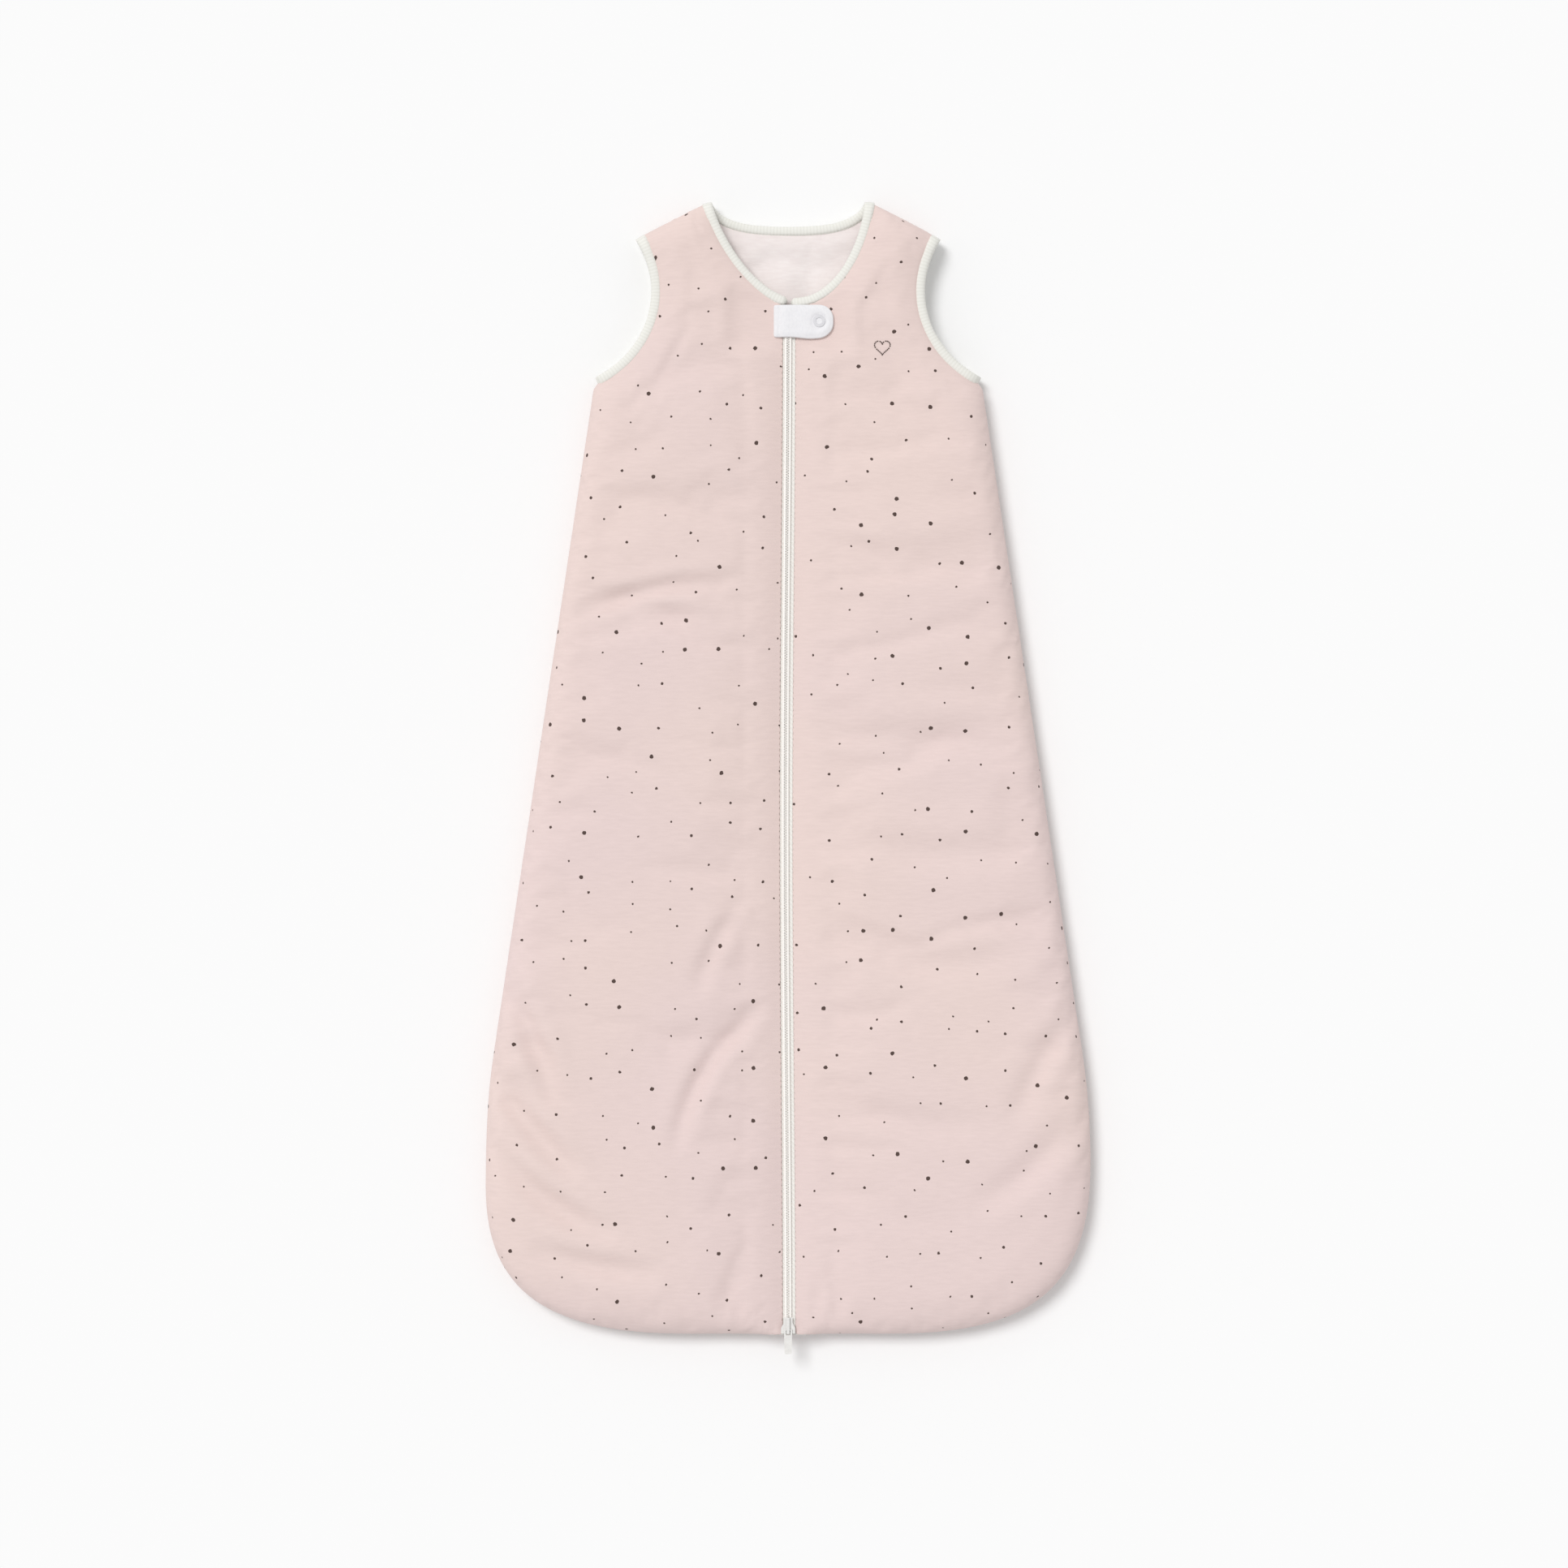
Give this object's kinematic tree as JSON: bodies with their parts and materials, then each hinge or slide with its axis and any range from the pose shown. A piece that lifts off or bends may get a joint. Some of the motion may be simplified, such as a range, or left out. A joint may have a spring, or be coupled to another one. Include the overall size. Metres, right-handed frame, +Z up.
{
  "type": "baby sleeping bag",
  "caption": "Padded sleeveless baby sleeping bag lying flat, closed by a full-length front zip whose slider sits at the hem and a snap-down guard tab at the neck.",
  "frame": {"origin": "on the floor under the middle of the whole bag, pull tab included", "axes": "+X to the wearer's left as the bag is seen from above, +Y towards the neck, +Z up from the floor"},
  "size_m": [0.4704, 0.8944, 0.0297],
  "materials": {
    "printed_jersey": "soft matt cotton jersey with a printed spot",
    "lining_jersey": "soft matt cotton jersey",
    "binding_rib": "fine matt rib binding",
    "wadding": "loose polyester wadding",
    "zip_tape": "woven polyester tape",
    "zip_plastic": "satin off-white",
    "slider_enamel": "satin white enamel",
    "snap_metal": "satin white enamel",
    "tab_cotton": "crisp white cotton",
    "motif_thread": "satin embroidery thread"
  },
  "bodies": {
    "bag": {"back_shell": "printed_jersey", "back_wadding": "wadding", "back_lining": "lining_jersey", "back_neck_binding": "binding_rib", "chest_motif": "motif_thread", "left_side_shell": "printed_jersey", "left_side_wadding": "wadding", "left_side_lining": "lining_jersey", "left_hem_seam": "printed_jersey", "left_corner_seam": "printed_jersey", "left_side_seam": "printed_jersey", "left_shoulder_seam": "printed_jersey", "left_armhole_binding": "binding_rib", "right_side_shell": "printed_jersey", "right_side_wadding": "wadding", "right_side_lining": "lining_jersey", "right_hem_seam": "printed_jersey", "right_corner_seam": "printed_jersey", "right_side_seam": "printed_jersey", "right_shoulder_seam": "printed_jersey", "right_armhole_binding": "binding_rib"},
    "left_flap": {"left_flap_shell": "printed_jersey", "left_flap_wadding": "wadding", "left_flap_lining": "lining_jersey", "left_front_neck_binding": "binding_rib", "left_zip_tape": "zip_tape", "left_zip_coil": "zip_plastic", "left_zip_end_stop": "zip_plastic", "zip_retainer_box": "zip_plastic"},
    "right_flap": {"right_flap_shell": "printed_jersey", "right_flap_wadding": "wadding", "right_flap_lining": "lining_jersey", "right_front_neck_binding": "binding_rib", "right_zip_tape": "zip_tape", "right_zip_coil": "zip_plastic", "right_zip_end_stop": "zip_plastic", "zip_insertion_pin": "zip_plastic", "snap_stud": "snap_metal", "snap_ring": "snap_metal"},
    "slider": {"slider_body": "slider_enamel"},
    "pull": {"slider_pull": "slider_enamel"},
    "guard_tab": {"guard_tab_outer": "tab_cotton", "guard_tab_backing": "tab_cotton", "snap_cap": "snap_metal", "snap_socket": "snap_metal"}
  },
  "joints": [
    {"name": "left_flap_fold", "type": "hinge", "parent": "bag", "child": "left_flap", "pos_m": [-0.025, -0.4328, 0.025], "axis": [0.0397, -0.9992, 0], "range_deg": [0, 150]},
    {"name": "right_flap_fold", "type": "hinge", "parent": "bag", "child": "right_flap", "pos_m": [0.025, -0.4328, 0.025], "axis": [0.0397, 0.9992, 0], "range_deg": [0, 150], "deforming": ["guard_tab_outer", "guard_tab_backing", "snap_cap", "snap_socket"]},
    {"name": "slider_travel", "type": "slide", "parent": "left_flap", "child": "slider", "axis": [0, 1, 0], "range_m": [0, 0.755]},
    {"name": "pull_swing", "type": "hinge", "parent": "slider", "child": "pull", "pos_m": [0, -0.4285, 0.02805], "axis": [-1, 0, 0], "range_deg": [0, 130]},
    {"name": "guard_tab_open", "type": "hinge", "parent": "left_flap", "child": "guard_tab", "pos_m": [-0.0114, 0.35345, 0.0272], "axis": [0, 1, 0], "range_deg": [-165, 0]}
  ]
}
